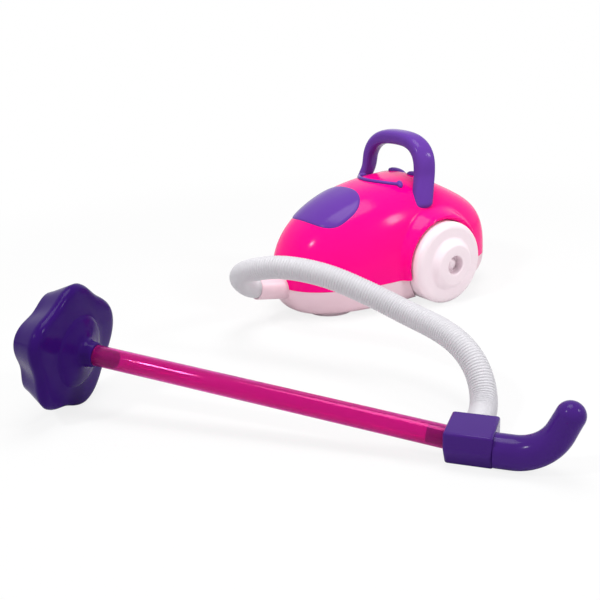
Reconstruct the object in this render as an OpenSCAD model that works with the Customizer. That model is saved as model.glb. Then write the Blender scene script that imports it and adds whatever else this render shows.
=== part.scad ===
/* [Canister] */
// Half of the body's width at the joint between shell and base
body_half_w = 79.5; // [79:0.5:82]
// Distance from the front pad's centre to the nose
nose_reach = 60; // [55:1:70]
// Distance from the front pad's centre to the tail
tail_reach = 229; // [224:1:236]
// Place of the widest section, behind the front pad's centre
widest_back = 92; // [86:1:98]
// Place of the highest section, behind the front pad's centre
crown_back = 125; // [118:1:132]
// Height of the joint between shell and base
joint_h = 38; // [36:1:42]
// Height of the roof
roof_h = 147; // [144:0.5:150]
// Wall of the moulded shell and base
wall = 2.6; // [2:0.1:3.2]

/* [Base] */
// Height of the base's belly over the floor
belly_h = 4; // [3:0.5:6]
// How far the base draws in from the joint down to the belly
hull_draw = 23; // [18:1:26]
// Half of the front pad's width
pad_half_w = 42; // [36:1:46]
// Half of the front pad's length
pad_half_l = 28; // [22:1:30]

/* [Wheels] */
// Radius of a wheel
wheel_r = 50; // [47:0.5:53]
// Width of a wheel's tread
wheel_w = 50; // [44:1:52]
// Half of the distance between the wheels' rim faces
track_half = 98; // [94:1:102]
// Distance from the front pad's centre back to the axle
axle_back = 120; // [114:1:126]
// Radius of the axle
axle_r = 3; // [2.5:0.1:4]
// Running clearance of a wheel on the axle, on the radius
axle_play = 0.05; // [0.03:0.01:0.1]
// Radius of the raised middle of a wheel
boss_r = 29; // [24:0.5:33]
// How far the raised middle stands out of the rim face
boss_out = 9; // [6:0.5:12]
// Rounding of the raised middle's edge
boss_round = 4; // [2:0.5:5]
// Rounding of a wheel's outer shoulder
tread_round = 8; // [4:0.5:9]
// Radius of the pocket in the raised middle
pocket_r = 11.5; // [10:0.5:14]
// Depth of the pocket
pocket_d = 12; // [8:0.5:14]
// Wall of a wheel
wheel_wall = 3; // [2.4:0.1:3.6]
// Gap between a wheel and its arch
arch_gap = 2.5; // [2:0.25:4]
// Radial thickness of the fender round an arch
fender_t = 9; // [7:0.5:10]
// Distance from the rim face in to the fender's face
fender_in = 11; // [8:0.5:14]

/* [Carry handle] */
// Half of the handle's width at its middle line
bail_half_w = 51.5; // [48:0.5:54]
// Height of the handle's middle line at the top
bail_top_h = 192; // [184:1:200]
// Height where the arch meets the legs
shoulder_h = 150; // [146:1:156]
// Place of the arch, behind the front pad's centre
bail_back = 119; // [115:1:123]
// Height of the legs' feet inside the shell
foot_h = 109.5; // [109:0.25:112]
// Half of the distance between the feet's middle lines
foot_half_w = 60.5; // [58:0.5:61]
// Place of the feet, behind the front pad's centre
foot_back = 107.5; // [104:0.5:112]
// Thickness of the handle, across its bar
bail_t = 14; // [12:0.5:16]
// Breadth of the handle, from front to back
bail_b = 22; // [18:0.5:25]
// Radius of the pins that lock the feet inside the shell
lock_r = 1.8; // [1.4:0.1:2]
// Length of a lock pin
lock_len = 32; // [28:1:36]

/* [Face] */
// Half of the nose panel's width
panel_half_w = 46; // [40:1:50]
// Half of the nose panel's length, seen from above
panel_half_l = 34.5; // [30:0.5:38]
// Place of the nose panel's middle, behind the front pad's centre
panel_back = 6; // [3:1:9]
// How far the nose panel stands out of the shell
panel_out = 1.2; // [0.8:0.1:2]
// Radius of the smile, seen from above
smile_r = 50; // [44:1:54]
// Place of the smile's front, behind the front pad's centre
smile_back = 74; // [68:1:78]
// Radius of the smile's bead
bead_r = 2.4; // [2:0.1:3]
// Half of the distance between the eyes
eye_half_gap = 18.5; // [16:0.5:21]
// Place of the eyes, behind the front pad's centre
eye_back = 134; // [130:1:138]
// Length of an eye
eye_l = 24; // [20:0.5:26]
// Width of an eye
eye_w = 14; // [11:0.5:16]
// How far an eye stands out of the shell
eye_out = 2.4; // [1.8:0.2:3]

/* [Hose] */
// Outer diameter of the ribbed hose
hose_d = 24.6; // [23:0.2:26]
// Bore of the ribbed hose
hose_bore_d = 19; // [17:0.5:20]
// Depth of the groove between two ribs
rib_depth = 1.5; // [1:0.1:2]
// Number of ribs
rib_count = 170; // [100:1:200]
// Wall of the sleeve that holds the hose in the nose
cuff_wall = 1.8; // [1.4:0.1:2.4]
// Length of the sleeve outside the nose
cuff_out = 38; // [30:1:42]
// Clearance of a push fit, on the radius
push_gap = 0.15; // [0.1:0.05:0.25]

/* [Wand] */
// Outer diameter of the wand tube
tube_d = 20; // [18:0.5:22]
// Wall of the wand tube
tube_wall = 1.8; // [1.4:0.1:2.2]
// Length of the wand tube between flower and coupler
tube_len = 332; // [320:1:350]
// Height of the tube's middle line where it leaves the coupler
tube_low_h = 19.6; // [18:0.2:22]
// How far a spigot reaches into the tube
spigot_len = 21; // [14:1:26]
// Length of the coupler along the wand
coupler_len = 40; // [36:1:44]
// Height of the coupler
coupler_h = 32; // [30:1:36]
// Front face of the coupler, from the wand's middle line
coupler_front = 17; // [15:0.5:19]
// Back face of the coupler, from the wand's middle line
coupler_back = 25; // [24:0.5:28]
// Depth of the hose socket in the coupler's back
socket_depth = 11.4; // [9:0.2:12]
// Radius of the grip
grip_r = 14.2; // [13:0.2:15.4]
// Radius of the grip's round end
grip_end_r = 12; // [11:0.2:13]
// Straight length of the grip before its bend
grip_run = 14; // [10:1:20]
// Bend radius of the grip's middle line
grip_bend = 40; // [36:1:50]
// Angle of the grip's bend
grip_angle = 66; // [55:1:80]
// Straight length of the grip after its bend
grip_up = 16; // [12:1:24]
// Wall of the grip
grip_wall = 2.4; // [2:0.1:3]

/* [Flower nozzle] */
// Mean radius of the flower
petal_mean_r = 62; // [56:0.5:64]
// How far the petals swing out and in from the mean radius
petal_swing = 4; // [3:0.2:6]
// Depth of the flower's cup
flower_depth = 34; // [28:1:38]
// How far the cup draws in from its back to its mouth
mouth_draw = 13; // [8:0.5:15]
// Rounding of the flower's edge
flower_round = 5; // [4:0.5:8]
// Wall of the flower's cup
flower_wall = 2.6; // [2:0.1:3.2]
// Thickness of the flower's back
flower_back_t = 4.4; // [3.6:0.2:5]
// Radius of the cone on the flower's back
cone_r = 28; // [24:1:32]
// Height of the cone
cone_h = 9; // [6:0.5:11]
// Radius of the collar round the tube
collar_r = 11.6; // [11:0.2:13]
// Radius of the collar's root
root_r = 14; // [12.5:0.25:16]
// Length of the collar
collar_len = 20; // [16:1:24]

/* [Fasteners] */
// Radius of a screw post
post_r = 4.6; // [4:0.1:5.5]
// Radius of a screw's shank
screw_r = 1.5; // [1.2:0.1:2]
// Radius of a screw's head
screw_head_r = 3.1; // [2.6:0.1:3.6]
// Height of a screw's head
screw_head_h = 2; // [1.6:0.1:2.4]
// Length of a screw under its head
screw_len = 44; // [40:1:48]

/* [Hidden] */

// One length that lets every cut run past the face it opens
overrun = 2;
// Gap that keeps two curved faces apart
face_gap = 0.3;
// Smoothness of true curves
fine = 96;

// Powers of the body's outline: seen from above at nose and tail, and from the side
nose_power = 2.35;
tail_power = 3.5;
side_power = 2.4;
// Power of the section across: round at the nose, square at the tail
round_section = 2.28;
square_section = 3.1;
// The roof falls behind the crown by this share, along a curve of this power, and ends with this one
fall_share = 0.5;
fall_power = 1.1;
end_power = 10;
end_root = 2.5;
// Number of sections along the body and of points across each
sections = 24;
across = 24;
// Share of the half turn that the end sections stop short of the tips
tip_share = 0.024;

// Number of points round the base and of rings down its side
around = 48;
hull_rings = 6;

// Places of the screw posts: shares of the half width, and of the length from the crown to each end
post_x_share = 0.42;
post_front_share = 0.42;
post_back_share = 0.66;

// Radius of an axle bearing on the base, its thickness and its distance inside the wheel
bearing_r = 8;
bearing_t = 5;
bearing_in = 6;
bearing_press = 0.02;
// Cap pushed onto an axle end
cap_r = 7;
cap_h = 6;
cap_dome_r = 9;
axle_stub = 4;
hub_r = 7;
end_float = 0.4;
fender_round = 4;
hub_hole_gap = 1;

// Rise of the hose sleeve, as a share of its run
cuff_rise_share = 0.2;
flange_in = 10;
flange_w = 3.2;
flange_t = 3;

// Edge rounding of the coupler and its lower front chamfer
coupler_round = 2;
coupler_round_steps = 4;
chamfer_h = 16;
chamfer_w = 8;
// The grip's middle line, in front of the tube's
grip_ahead = 3;
// The grip's collar stands out by a lip and laps over the bend
grip_lip = 0.3;
grip_lap = 1.5;

// The smile's bead turns through this angle, and its ends are round knobs of this radius
smile_turn = 108;
knob_r = 4;
smile_steps = 22;
bead_sides = 10;
bead_sink_share = 0.25;

// Points round the nose panel and the power of its outline
panel_points = 48;
panel_power = 2.5;

// Turn of each petal round the tube, from straight up, and its reach past the mean one as a share of the swing
petal_turns = [5, 78, 163, 231, 297];
petal_shares = [-0.4, 0.45, -0.5, -1.1, 0.5];
petals = len(petal_turns);
// Number of points round the flower and along its rounding
flower_points = 60;
round_steps = 4;

// The hose's route, from inside the sleeve to the bottom of the coupler's socket
route = [
    [0, -73, 41], [0, -83, 43], [0, -93, 45], [2, -103, 48], [8, -113, 55], [17, -123, 64], [29, -132, 73],
    [44, -138, 82], [61, -141, 90], [79, -138, 96], [98, -131, 101], [117, -121, 102], [137, -109, 100],
    [157, -96, 95], [177, -84, 87], [196, -73, 79], [215, -65, 72], [235, -60, 67], [255, -57, 64],
    [275, -56, 61], [294, -57, 57], [311, -59, 50], [326, -63, 41], [338, -69, 31], [348, -77, 22],
    [357, -88, 17], [367.5, -104, 17], [379, -120.5, 17]
];
hose_sides = 8;
bore_rings = 40;
route_steps = 8;

function sum_to(v, i) = i < 0 ? 0 : v[i] + sum_to(v, i - 1);
function unit(v) = v / norm(v);
function signed_pow(c, p) = sign(c) * pow(abs(c), p);

// Half width and height of the body's section at y, drawn in by inset
function body_w(y, inset) =
    let (reach = y < widest_back ? nose_reach + widest_back : tail_reach - widest_back)
    let (share = min(1, abs(y - widest_back) / (reach - inset)), p = y < widest_back ? nose_power : tail_power)
    (body_half_w - inset) * pow(1 - pow(share, p), 1 / p);
function body_h(y, inset) =
    let (reach = y < crown_back ? nose_reach + crown_back : tail_reach - crown_back)
    let (share = min(1, abs(y - crown_back) / (reach - inset)))
    (roof_h - inset - joint_h) * (y < crown_back
        ? pow(1 - pow(share, side_power), 1 / side_power)
        : (1 - fall_share * pow(share, fall_power)) * pow(1 - pow(share, end_power), 1 / end_root));

// Power of the section at y
function section_power(y) =
    let (share = max(0, min(1, (y + nose_reach) / (nose_reach + tail_reach))))
    round_section + (square_section - round_section) * share * share * (3 - 2 * share);

// Points of one section of the body, from its left edge over the top to its right edge
function body_section(y, inset, foot) =
    let (w = body_w(y, inset), h = body_h(y, inset), p = 2 / section_power(y))
    concat(
        foot > 0 ? [[w, y, joint_h - foot]] : [],
        [for (j = [0:across]) let (a = 180 * j / across)
            [w * signed_pow(cos(a), p), y, joint_h + h * pow(max(0, sin(a)), p)]],
        foot > 0 ? [[-w, y, joint_h - foot]] : []);

// Solid of the body, drawn in by inset, with a straight foot under the joint
module body_solid(inset, foot) {
    half_l = (nose_reach + tail_reach) / 2 - inset;
    mid = (tail_reach - nose_reach) / 2;
    ring = across + (foot > 0 ? 3 : 1);
    stations = [for (i = [0:sections]) let (a = 180 * (tip_share + (1 - 2 * tip_share) * i / sections))
        mid - half_l * cos(a)];
    points = [for (y = stations) each body_section(y, inset, foot)];
    sides = [for (i = [0:sections - 1], j = [0:ring - 1])
        let (k = (j + 1) % ring, a = i * ring, b = (i + 1) * ring)
        each [[a + j, b + k, b + j], [a + j, a + k, b + k]]];
    front = [for (j = [ring - 1:-1:0]) j];
    back = [for (j = [0:ring - 1]) sections * ring + j];
    polyhedron(points, concat(sides, [front], [back]), convexity = 6);
}

// Points of the base's outline at one level: the body's plan drawn in by inset
function base_outline(inset, z) = [for (k = [0:around - 1]) let (a = 360 * k / around)
    let (reach = sin(a) < 0 ? nose_reach + widest_back : tail_reach - widest_back)
    let (p = 2 / (sin(a) < 0 ? nose_power : tail_power))
    [(body_half_w - inset) * signed_pow(cos(a), p),
     widest_back + (reach - inset) * signed_pow(sin(a), p), z]];

// Solid of the base: the outline draws in along a quarter ellipse down to the belly
module base_solid(inset, top, bottom) {
    points = [for (i = [0:hull_rings]) let (a = 90 * i / hull_rings)
        each base_outline(inset + hull_draw * (1 - cos(a)), top - (top - bottom) * sin(a))];
    sides = [for (i = [0:hull_rings - 1], k = [0:around - 1])
        let (n = (k + 1) % around, a = i * around, b = (i + 1) * around)
        each [[a + k, b + n, b + k], [a + k, a + n, b + n]]];
    lid = [for (k = [around - 1:-1:0]) k];
    floor_face = [for (k = [0:around - 1]) hull_rings * around + k];
    polyhedron(points, concat(sides, [lid], [floor_face]), convexity = 6);
}

// Cylinder along X from x0 to x1, at the axle or at another centre
module cross_rod(r, x0, x1, y, z) {
    translate([x0, y, z]) rotate([0, 90, 0]) cylinder(r = r, h = x1 - x0, $fn = fine);
}

wheel_in = track_half - wheel_w;
arch_r = wheel_r + arch_gap;
fender_r = arch_r + fender_t;
fender_face = track_half - fender_in;
well_x = wheel_in - end_float - overrun;

// Room for the two wheels, grown by a wall
module wheel_wells(grow) {
    for (side = [-1, 1])
        mirror([side < 0 ? 1 : 0, 0, 0])
            cross_rod(arch_r + grow, well_x - grow, track_half + overrun, axle_back, wheel_r);
}

// A fender: a round block over the wheel with a rounded outer edge
module fender_blocks() {
    depth = fender_face - well_x;
    for (side = [-1, 1])
        mirror([side < 0 ? 1 : 0, 0, 0])
            translate([well_x, axle_back, wheel_r])
                rotate([0, 90, 0])
                    rotate_extrude($fn = fine) {
                        square([fender_r - fender_round, depth]);
                        square([fender_r, depth - fender_round]);
                        translate([fender_r - fender_round, depth - fender_round])
                            circle(r = fender_round, $fn = fine);
                    }
}

// Everything above, or below, the joint
module above_joint() {
    span = body_half_w + track_half;
    translate([-span, -nose_reach - overrun, joint_h])
        cube([2 * span, nose_reach + tail_reach + 2 * overrun, roof_h]);
}

post_x = body_half_w * post_x_share;
post_ys = [crown_back - (nose_reach + crown_back) * post_front_share,
           crown_back + (tail_reach - crown_back) * post_back_share];

// One upright rod at each screw
module at_posts(r, z0, z1) {
    for (x = [-post_x, post_x], y = post_ys)
        translate([x, y, z0]) cylinder(r = r, h = z1 - z0, $fn = fine);
}

cuff_bore_r = hose_d / 2 + push_gap;
cuff_r = cuff_bore_r + cuff_wall;
cuff_tilt = atan(cuff_rise_share);
// The sleeve's middle line crosses the nose here
cuff_root = [0, route[0][1] + (route[0][2] - joint_h) / cuff_rise_share, joint_h];

// Along the sleeve: z runs out of the nose
module along_cuff() {
    translate(cuff_root) rotate([90 - cuff_tilt, 0, 0]) children();
}

// Slot that lets the shell drop over the axle
module axle_slot() {
    r = axle_r + hub_hole_gap;
    cross_rod(r, -track_half, track_half, axle_back, wheel_r);
    translate([-track_half, axle_back - r, joint_h - overrun]) cube([2 * track_half, 2 * r, wheel_r - joint_h + overrun]);
}

module body_shell() {
    color("#ff0090") difference() {
        union() {
            body_solid(0, 0);
            intersection() {
                fender_blocks();
                above_joint();
            }
        }
        difference() {
            body_solid(wall, overrun);
            wheel_wells(wall);
            at_posts(post_r, joint_h, roof_h);
        }
        wheel_wells(0);
        at_posts(screw_r, joint_h - overrun, belly_h + screw_len + overrun);
        along_cuff() cylinder(r = cuff_r + face_gap, h = 2 * cuff_out, center = true, $fn = fine);
        for (side = [0, 1]) mirror([side, 0, 0]) bail_body(leg_line(), face_gap);
        axle_slot();
    }
}

bearing_x = wheel_in - end_float - overrun - wall - bearing_in;

// Upright bearing that carries the axle: a post with a round head
module axle_bearings() {
    for (side = [0, 1]) mirror([side, 0, 0]) {
        cross_rod(bearing_r, bearing_x - bearing_t, bearing_x, axle_back, wheel_r);
        translate([bearing_x - bearing_t, axle_back - bearing_r, belly_h])
            cube([bearing_t, 2 * bearing_r, wheel_r - belly_h]);
    }
}

module base_tray() {
    color("#f7eef2") difference() {
        union() {
            difference() {
                base_solid(0, joint_h, belly_h);
                difference() {
                    base_solid(wall, joint_h + overrun, belly_h + wall);
                    wheel_wells(wall);
                    at_posts(post_r, 0, joint_h);
                }
            }
            axle_bearings();
        }
        wheel_wells(0);
        cross_rod(axle_r, -track_half, track_half, axle_back, wheel_r);
        at_posts(screw_r + push_gap, 0, joint_h + overrun);
        at_posts(screw_head_r + push_gap, 0, belly_h + screw_head_h);
        along_cuff() cylinder(r = cuff_r + face_gap, h = 2 * cuff_out, center = true, $fn = fine);
    }
}

module front_pad() {
    color("#f2e6ea") linear_extrude(belly_h) {
        square([2 * pad_half_w - 2 * pad_half_l, 2 * pad_half_l], center = true);
        for (x = [-1, 1]) translate([x * (pad_half_w - pad_half_l), 0]) circle(r = pad_half_l, $fn = fine);
    }
}

module nose_panel() {
    egg = [for (k = [0:panel_points - 1]) let (a = 360 * k / panel_points)
        [panel_half_w * signed_pow(cos(a), 2 / panel_power), panel_half_l * signed_pow(sin(a), 2 / panel_power)]];
    color("#6b3fa0") difference() {
        intersection() {
            body_solid(-panel_out, 0);
            translate([0, panel_back, joint_h]) linear_extrude(roof_h) polygon(egg);
        }
        body_solid(0, overrun);
    }
}

// Height of the body's surface at a point seen from above
function surface_z(x, y) =
    let (w = body_w(y, 0), share = min(1, abs(x) / w), p = section_power(y))
    joint_h + body_h(y, 0) * pow(1 - pow(share, p), 1 / p);

// Middle of the smile's bead at an angle from straight ahead
function smile_point(a) =
    let (x = smile_r * sin(a), y = smile_back + smile_r * (1 - cos(a)))
    [x, y, surface_z(x, y) + bead_r * bead_sink_share];

// Tube of round rings swept along a list of points
module swept(points, r, sides) {
    last = len(points) - 1;
    rings = [for (i = [0:last])
        let (t = unit(points[min(last, i + 1)] - points[max(0, i - 1)]))
        let (n = unit(cross([0, 0, 1], t)), m = cross(t, n))
        each [for (k = [0:sides - 1]) let (a = 360 * k / sides) points[i] + r * (cos(a) * n + sin(a) * m)]];
    skin = [for (i = [0:last - 1], k = [0:sides - 1])
        let (n = (k + 1) % sides, a = i * sides, b = (i + 1) * sides)
        each [[a + k, b + n, a + n], [a + k, b + k, b + n]]];
    polyhedron(rings, concat(skin, [[for (k = [0:sides - 1]) k]],
        [[for (k = [sides - 1:-1:0]) last * sides + k]]), convexity = 8);
}

module smile_trim() {
    ends = smile_turn / 2;
    color("#6b3fa0") difference() {
        union() {
            swept([for (i = [0:smile_steps]) smile_point(-ends + smile_turn * i / smile_steps)], bead_r, bead_sides);
            for (a = [-ends, ends]) translate(smile_point(a)) sphere(r = knob_r, $fn = 32);
        }
        body_solid(0, overrun);
    }
}

module eye(side) {
    y = eye_back;
    x = side * eye_half_gap;
    color("#6b3fa0") difference() {
        translate([x, y, surface_z(x, y)]) scale([eye_w / eye_l, 1, 2 * eye_out / eye_l]) sphere(d = eye_l, $fn = 32);
        body_solid(0, overrun);
    }
}

module left_eye() { eye(1); }

module right_eye() { eye(-1); }

// Middle line of the carry handle: an arch on two straight legs that lean out and forward to their feet
bail_power = 2.9;
bail_steps = 18;
bail_sides = 16;
bail_section_power = 3;
// The legs' faces turn in towards the front by this share of their breadth
toe_share = 0.32;
arch_h = bail_top_h - shoulder_h;
shoulder = [bail_half_w, bail_back, shoulder_h];
foot = [foot_half_w, foot_back, foot_h];

function mirrored(p) = [-p[0], p[1], p[2]];
function arch_point(a) = [bail_half_w * signed_pow(cos(a), 2 / bail_power), bail_back,
    shoulder_h + arch_h * pow(sin(a), 2 / bail_power)];
function bail_line() = concat([foot, (foot + shoulder) / 2, shoulder],
    [for (i = [1:bail_steps - 1]) arch_point(180 * i / bail_steps)],
    [mirrored(shoulder), mirrored(foot + shoulder) / 2, mirrored(foot)]);
// One leg alone, run on past its foot by a share of its length
leg_share = 0.2;
function leg_line() = [foot + leg_share * (foot - shoulder), shoulder];

// Rounded bar swept along a line of points, grown by grow all round
module bail_body(line, grow) {
    last = len(line) - 1;
    points = [for (i = [0:last])
        let (d = line[min(last, i + 1)] - line[max(0, i - 1)])
        let (n = unit([-d[2], 0, d[0]]), toe = toe_share * line[i][0] / foot_half_w)
        each [for (k = [0:bail_sides - 1]) let (a = 360 * (k + 0.5) / bail_sides)
            let (u = (bail_t / 2 + grow) * signed_pow(cos(a), 2 / bail_section_power))
            let (v = (bail_b / 2 + grow) * signed_pow(sin(a), 2 / bail_section_power))
            line[i] + u * n + v * [toe, 1, 0]]];
    skin = [for (i = [0:last - 1], k = [0:bail_sides - 1])
        let (n = (k + 1) % bail_sides, a = i * bail_sides, b = (i + 1) * bail_sides)
        each [[a + k, a + n, b + n], [a + k, b + n, b + k]]];
    polyhedron(points, concat(skin, [[for (k = [bail_sides - 1:-1:0]) k]],
        [[for (k = [0:bail_sides - 1]) last * bail_sides + k]]), convexity = 8);
}

// Lock pin: it crosses a foot from front to back, under the shell's roof
module lock_pin(r) {
    lock_h = foot_h + 2 * lock_r;
    at = foot + (shoulder - foot) * (lock_h - foot_h) / (shoulder_h - foot_h);
    translate([at[0], at[1] + lock_len / 2, lock_h]) rotate([90, 0, 0]) cylinder(r = r, h = lock_len, $fn = fine);
}

module carry_handle() {
    color("#6b3fa0") difference() {
        bail_body(bail_line(), 0);
        for (side = [0, 1]) mirror([side, 0, 0]) lock_pin(lock_r);
    }
}

module left_lock_pin() { color("silver") lock_pin(lock_r); }

module right_lock_pin() { color("silver") mirror([1, 0, 0]) lock_pin(lock_r); }

// Outer end of the axle, inside a wheel's pocket
pocket_floor = track_half + boss_out - pocket_d;
axle_end = pocket_floor + axle_stub;

module rear_axle() {
    color("silver") cross_rod(axle_r, -axle_end, axle_end, axle_back, wheel_r);
}

// Half of a wheel's section: radius across, and distance out of the rim face up
module wheel_section() {
    difference() {
        union() {
            translate([0, -wheel_w]) square([wheel_r - tread_round, wheel_w]);
            translate([0, -wheel_w]) square([wheel_r, wheel_w - tread_round]);
            translate([wheel_r - tread_round, -tread_round]) circle(r = tread_round, $fn = fine);
            square([boss_r - boss_round, boss_out]);
            square([boss_r, boss_out - boss_round]);
            translate([boss_r - boss_round, boss_out - boss_round]) circle(r = boss_round, $fn = fine);
        }
        translate([0, -wheel_w - overrun]) square([axle_r + axle_play, wheel_w + boss_out + 2 * overrun]);
        translate([0, boss_out - pocket_d]) square([pocket_r, pocket_d + overrun]);
        translate([hub_r, -wheel_w - overrun])
            square([wheel_r - wheel_wall - hub_r, wheel_w + overrun - wheel_wall - pocket_d + boss_out]);
        translate([pocket_r + wheel_wall, -wheel_w - overrun])
            square([boss_r - pocket_r - 2 * wheel_wall, wheel_w + overrun + boss_out - wheel_wall]);
        translate([boss_r - overrun, -wheel_w - overrun])
            square([wheel_r - tread_round - boss_r + overrun, wheel_w + overrun - wheel_wall]);
    }
}

module wheel() {
    color("#f5e6ec") translate([track_half, axle_back, wheel_r])
        rotate([0, 90, 0]) rotate_extrude($fn = fine) wheel_section();
}

module left_wheel() { wheel(); }

module right_wheel() { mirror([1, 0, 0]) wheel(); }

// Push-on cap: a low dome with a blind bore for the axle
module axle_cap() {
    color("#efdfe6") translate([pocket_floor + end_float, axle_back, wheel_r]) rotate([0, 90, 0])
        difference() {
            rotate_extrude($fn = fine) {
                square([cap_r, cap_h - cap_r / 2]);
                intersection() {
                    translate([0, -cap_r]) square([cap_r, cap_h + cap_r]);
                    translate([0, cap_h - cap_dome_r]) circle(r = cap_dome_r, $fn = fine);
                }
            }
            translate([0, 0, -2 * cap_h]) cylinder(r = 2 * cap_r, h = 2 * cap_h, $fn = fine);
            translate([0, 0, -overrun]) cylinder(r = axle_r, h = axle_stub - end_float + overrun, $fn = fine);
        }
}

module left_axle_cap() { axle_cap(); }

module right_axle_cap() { mirror([1, 0, 0]) axle_cap(); }

module base_screws() {
    color("silver") {
        at_posts(screw_head_r, belly_h, belly_h + screw_head_h);
        at_posts(screw_r, belly_h + screw_head_h, belly_h + screw_len);
    }
}

module hose_cuff() {
    color("#f4f2f6") along_cuff() difference() {
        union() {
            translate([0, 0, -flange_in - flange_t]) cylinder(r = cuff_r, h = flange_in + flange_t + cuff_out, $fn = fine);
            translate([0, 0, -flange_in - flange_t]) cylinder(r = cuff_r + flange_w, h = flange_t, $fn = fine);
        }
        translate([0, 0, norm(route[0] - cuff_root)]) cylinder(r = cuff_bore_r, h = cuff_out, $fn = fine);
        translate([0, 0, -cuff_out]) cylinder(r = hose_bore_d / 2, h = 2 * cuff_out, $fn = fine);
    }
}

// Smooth curve near the route's points: a cubic spline that ends on its first and last points
last_stop = len(route) - 1;
function stop(i) = i < 0 ? 2 * route[0] - route[1] : i > last_stop ? 2 * route[last_stop] - route[last_stop - 1] : route[i];
function hose_at(t) =
    let (i = min(last_stop - 1, floor(t)), s = t - i)
    (pow(1 - s, 3) * stop(i - 1) + (3 * pow(s, 3) - 6 * s * s + 4) * stop(i)
     + (1 + 3 * s + 3 * s * s - 3 * pow(s, 3)) * stop(i + 1) + pow(s, 3) * stop(i + 2)) / 6;
walk = [for (i = [0:last_stop * route_steps]) hose_at(i / route_steps)];
hops = [for (i = [1:len(walk) - 1]) norm(walk[i] - walk[i - 1])];
function running(i, total) = i > len(hops) ? [] : concat([[total, i / route_steps]], running(i + 1, total + (i < len(hops) ? hops[i] : 0)));
by_length = running(0, 0);
hose_len = by_length[len(by_length) - 1][0];

function hose_ring(s, r) =
    let (t = lookup(s, by_length), d = 1 / route_steps)
    let (c = hose_at(t), f = unit(hose_at(min(last_stop, t + d)) - hose_at(max(0, t - d))))
    let (n = unit(cross([0, 0, 1], f)), m = cross(f, n))
    [for (k = [0:hose_sides - 1]) let (a = 360 * (k + 0.5) / hose_sides) c + r * (cos(a) * n + sin(a) * m)];

// A ribbed skin outside and a plain bore inside, closed at both ends
module hose() {
    outer_r = hose_d / 2;
    last = 2 * rib_count;
    points = concat(
        [for (i = [0:last]) each hose_ring(hose_len * i / last, i % 2 == 0 ? outer_r : outer_r - rib_depth)],
        [for (i = [0:bore_rings]) each hose_ring(hose_len * i / bore_rings, hose_bore_d / 2)]);
    base = (last + 1) * hose_sides;
    end_out = last * hose_sides;
    end_in = base + bore_rings * hose_sides;
    skin = [for (i = [0:last - 1], k = [0:hose_sides - 1])
        let (n = (k + 1) % hose_sides, a = i * hose_sides, b = (i + 1) * hose_sides)
        each [[a + k, b + n, a + n], [a + k, b + k, b + n]]];
    bore = [for (i = [0:bore_rings - 1], k = [0:hose_sides - 1])
        let (n = (k + 1) % hose_sides, a = base + i * hose_sides, b = base + (i + 1) * hose_sides)
        each [[a + k, a + n, b + n], [a + k, b + n, b + k]]];
    ends = [for (k = [0:hose_sides - 1]) let (n = (k + 1) % hose_sides)
        each [[k, n, base + n], [k, base + n, base + k],
              [end_out + k, end_in + n, end_out + n], [end_out + k, end_in + k, end_in + n]]];
    color("#e8e8ec") polyhedron(points, concat(skin, bore, ends), convexity = 12);
}

// The wand lies square to the hose's last stretch
hose_tip = route[last_stop];
tip_way = unit(hose_tip - route[last_stop - 1]);
wand_yaw = atan2(tip_way[0], -tip_way[1]);
// Middle of the coupler on the wand's middle line, on the floor
coupler_mid = [hose_tip[0], hose_tip[1], 0] + (coupler_back - socket_depth) * [tip_way[0], tip_way[1], 0];
hose_h = hose_tip[2];
tube_r = tube_d / 2;
bore_r = tube_r - tube_wall;
spigot_r = bore_r - push_gap;
seat_depth = 5;

// Wand frame: x along the wand to the grip, y away behind it, z up, from the coupler's middle
module wand_frame() {
    translate(coupler_mid) rotate([0, 0, wand_yaw]) children();
}

// The flower's widest edge rests on the floor, so the tube climbs from the coupler to it
tube_foot = -coupler_len / 2 + seat_depth;
flower_low = max([for (q = petal_ring(0, 0)) -q[0]]);
flower_reach = tube_len + collar_len + flower_round;
tube_climb = acos(tube_low_h / norm([flower_low, flower_reach])) - atan2(flower_reach, flower_low);

// Along the tube: z runs from the coupler to the flower
module along_tube() {
    wand_frame() translate([-coupler_len / 2, 0, tube_low_h]) rotate([0, -90 + tube_climb, 0]) children();
}

// Corner points of a polygon, each replaced by an arc of radius r
function rounded(p, r, n) = [for (i = [0:len(p) - 1])
    let (a = p[(i + len(p) - 1) % len(p)], b = p[i], c = p[(i + 1) % len(p)])
    let (u = unit(a - b), v = unit(c - b), half = acos(u * v) / 2, m = unit(u + v))
    let (o = b + m * r / sin(half), turn = 180 - 2 * half)
    let (start = atan2((b + u * r / tan(half) - o)[1], (b + u * r / tan(half) - o)[0]))
    let (way = sign(cross(c - b, a - b)))
    for (k = [0:n]) o + r * [cos(start + way * turn * k / n), sin(start + way * turn * k / n)]];

module hose_coupler() {
    profile = [[-coupler_front, coupler_h], [-coupler_front, chamfer_h], [-coupler_front + chamfer_w, 0],
               [coupler_back, 0], [coupler_back, coupler_h]];
    color("#6b3fa0") {
        difference() {
            wand_frame() rotate([90, 0, 90]) translate([0, 0, -coupler_len / 2])
                linear_extrude(coupler_len) polygon(rounded(profile, coupler_round, coupler_round_steps));
            wand_frame() translate([0, coupler_back + overrun, hose_h]) rotate([90, 0, 0])
                cylinder(r = hose_d / 2 + push_gap, h = socket_depth + overrun, $fn = fine);
            along_tube() translate([0, 0, -seat_depth])
                cylinder(r = tube_r + push_gap, h = seat_depth + coupler_len, $fn = fine);
        }
        along_tube() translate([0, 0, -seat_depth]) cylinder(r = spigot_r, h = spigot_len, $fn = fine);
        wand_frame() translate([coupler_len / 2 - overrun, -grip_ahead, grip_r + grip_lip + face_gap]) rotate([0, 90, 0])
            cylinder(r = grip_r - grip_wall - push_gap, h = grip_run, $fn = fine);
    }
}

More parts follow.
